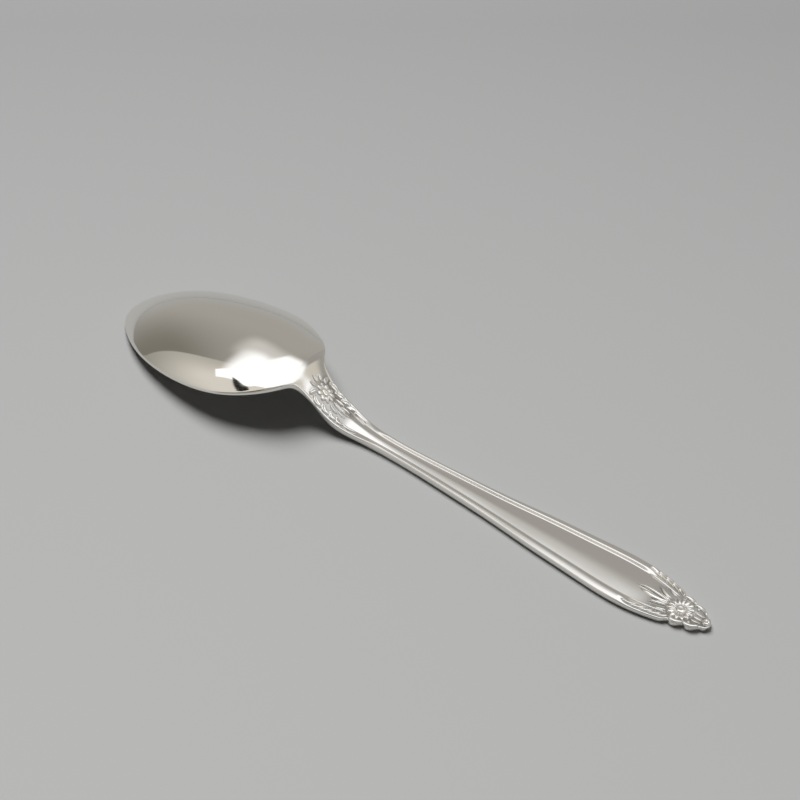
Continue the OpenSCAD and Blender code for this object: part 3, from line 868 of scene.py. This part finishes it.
# %% Ceiling, tail, glow and beam
CEILING = (1.2, 1.2, 1.2, 1)
GLOW = (1.2, 1.19, 1.16, 1)
over_x, over_y = math("DIVIDE", axes["X"], height), math("DIVIDE", axes["Y"], height)
overhead = step(height, 0.28, 0.36)
left_edge = step(line(over_y, -0.25, over_x), -0.56, -0.345)
far_line = math("MAXIMUM", line(over_x, 0.45, 0.49), line(over_x, 5.0, 2.03))
far_line = math("MINIMUM", far_line, line(over_x, 0.1, 0.65))
far_edge = step(math("SUBTRACT", over_y, far_line), 0.14, -0.14)
near_line = math("MINIMUM", line(over_x, 0.68, -0.234), -0.45)
near_edge = step(math("SUBTRACT", over_y, near_line), 0.0, 0.02)
right_edge = step(over_x, 2.05, 1.95)
ceiling = product(left_edge, far_edge, near_edge, right_edge, overhead)
tail_edge = step(math("SUBTRACT", over_y, line(over_x, 0.857, 0.1)), 0.01, -0.01)
tail = product(tail_edge, step(over_x, -0.74, -0.70), near_edge, step(over_x, -0.42, -0.44))
glow = product(step(over_x, -0.66, -0.42), step(over_x, 0.0, -0.3),
               step(over_y, -0.1, 0.2), step(over_y, 0.85, 0.45), overhead, 0.3)
seen = blend(glow, seen, GLOW)
seen = blend(math("MAXIMUM", ceiling, tail), seen, CEILING)
beam = product(step(over_x, -0.44, -0.43), step(over_x, -0.375, -0.385),
               step(over_y, -0.82, -0.80), step(over_y, -0.45, -0.47), overhead)
seen = blend(beam, seen, "#100F0D")
seen = blend(step(toward(-90, 41), 0.975, 0.985), seen, "#2C2A27")
print("room from", len(room.nodes), "nodes")

# %% [markdown]
# ## Who sees the room
# Mirrored light sees the room as drawn. Everything else gets a low and even light from it, so
# that the lamp alone makes the shadow, and behind the table the camera sees plain grey.

# %% Output of the world
EVEN_LIGHT = (0.04, 0.04, 0.04, 1)
path = add(room, "ShaderNodeLightPath").outputs
lit = blend(path["Is Glossy Ray"], EVEN_LIGHT, seen)
colour = blend(path["Is Camera Ray"], lit, "#B2B2B3")
light = add(room, "ShaderNodeBackground", links={"Color": colour}, Strength=1.0)
add(room, "ShaderNodeOutputWorld", links={"Surface": light.outputs[0]})

# %% [markdown]
# ## The lamp
# One soft lamp stands high behind the spoon on the left. It throws the shadow towards the
# viewer's side, dark under the bowl and thin along the handle. The silver doesn't mirror it.

# %% Soft lamp
def area_lamp(name, azimuth, elevation, distance, size, watts):
    lamp = bpy.data.lights.new(name, "AREA")
    lamp.shape, lamp.size, lamp.energy = "DISK", size, watts
    holder = bpy.data.objects.new(name, lamp)
    bpy.context.collection.objects.link(holder)
    place = Vector(aim(azimuth, elevation)) * distance
    holder.location = place
    holder.rotation_euler = place.to_track_quat("Z", "Y").to_euler()
    holder.visible_camera = False
    holder.visible_glossy = False
    print(name, "at", [round(v, 3) for v in place])


area_lamp("soft_key_lamp", azimuth=146, elevation=61, distance=0.9, size=0.6, watts=10.6)

# %% [markdown]
# ## Camera
# The view is the photograph's: from the near right, 44 degrees above the table, with a long
# lens from less than half a metre away.

# %% The camera
LOOK_AT_MM = (-10.55, 13.37, 0.0)
VIEW_AZIMUTH, VIEW_ELEVATION, VIEW_DISTANCE = 38, 44.19, 0.45
eye = bpy.data.cameras.new("camera")
eye.lens, eye.sensor_width, eye.clip_start = 93.9, 36.0, 0.01
camera = bpy.data.objects.new("camera", eye)
bpy.context.collection.objects.link(camera)
away = Vector(aim(VIEW_AZIMUTH - 90, VIEW_ELEVATION))
camera.location = Vector(LOOK_AT_MM) * MM + away * VIEW_DISTANCE
camera.rotation_euler = away.to_track_quat("Z", "Y").to_euler()
bpy.context.scene.camera = camera
bpy.context.scene.view_settings.view_transform = "Standard"
print("camera at", [round(c, 4) for c in camera.location])
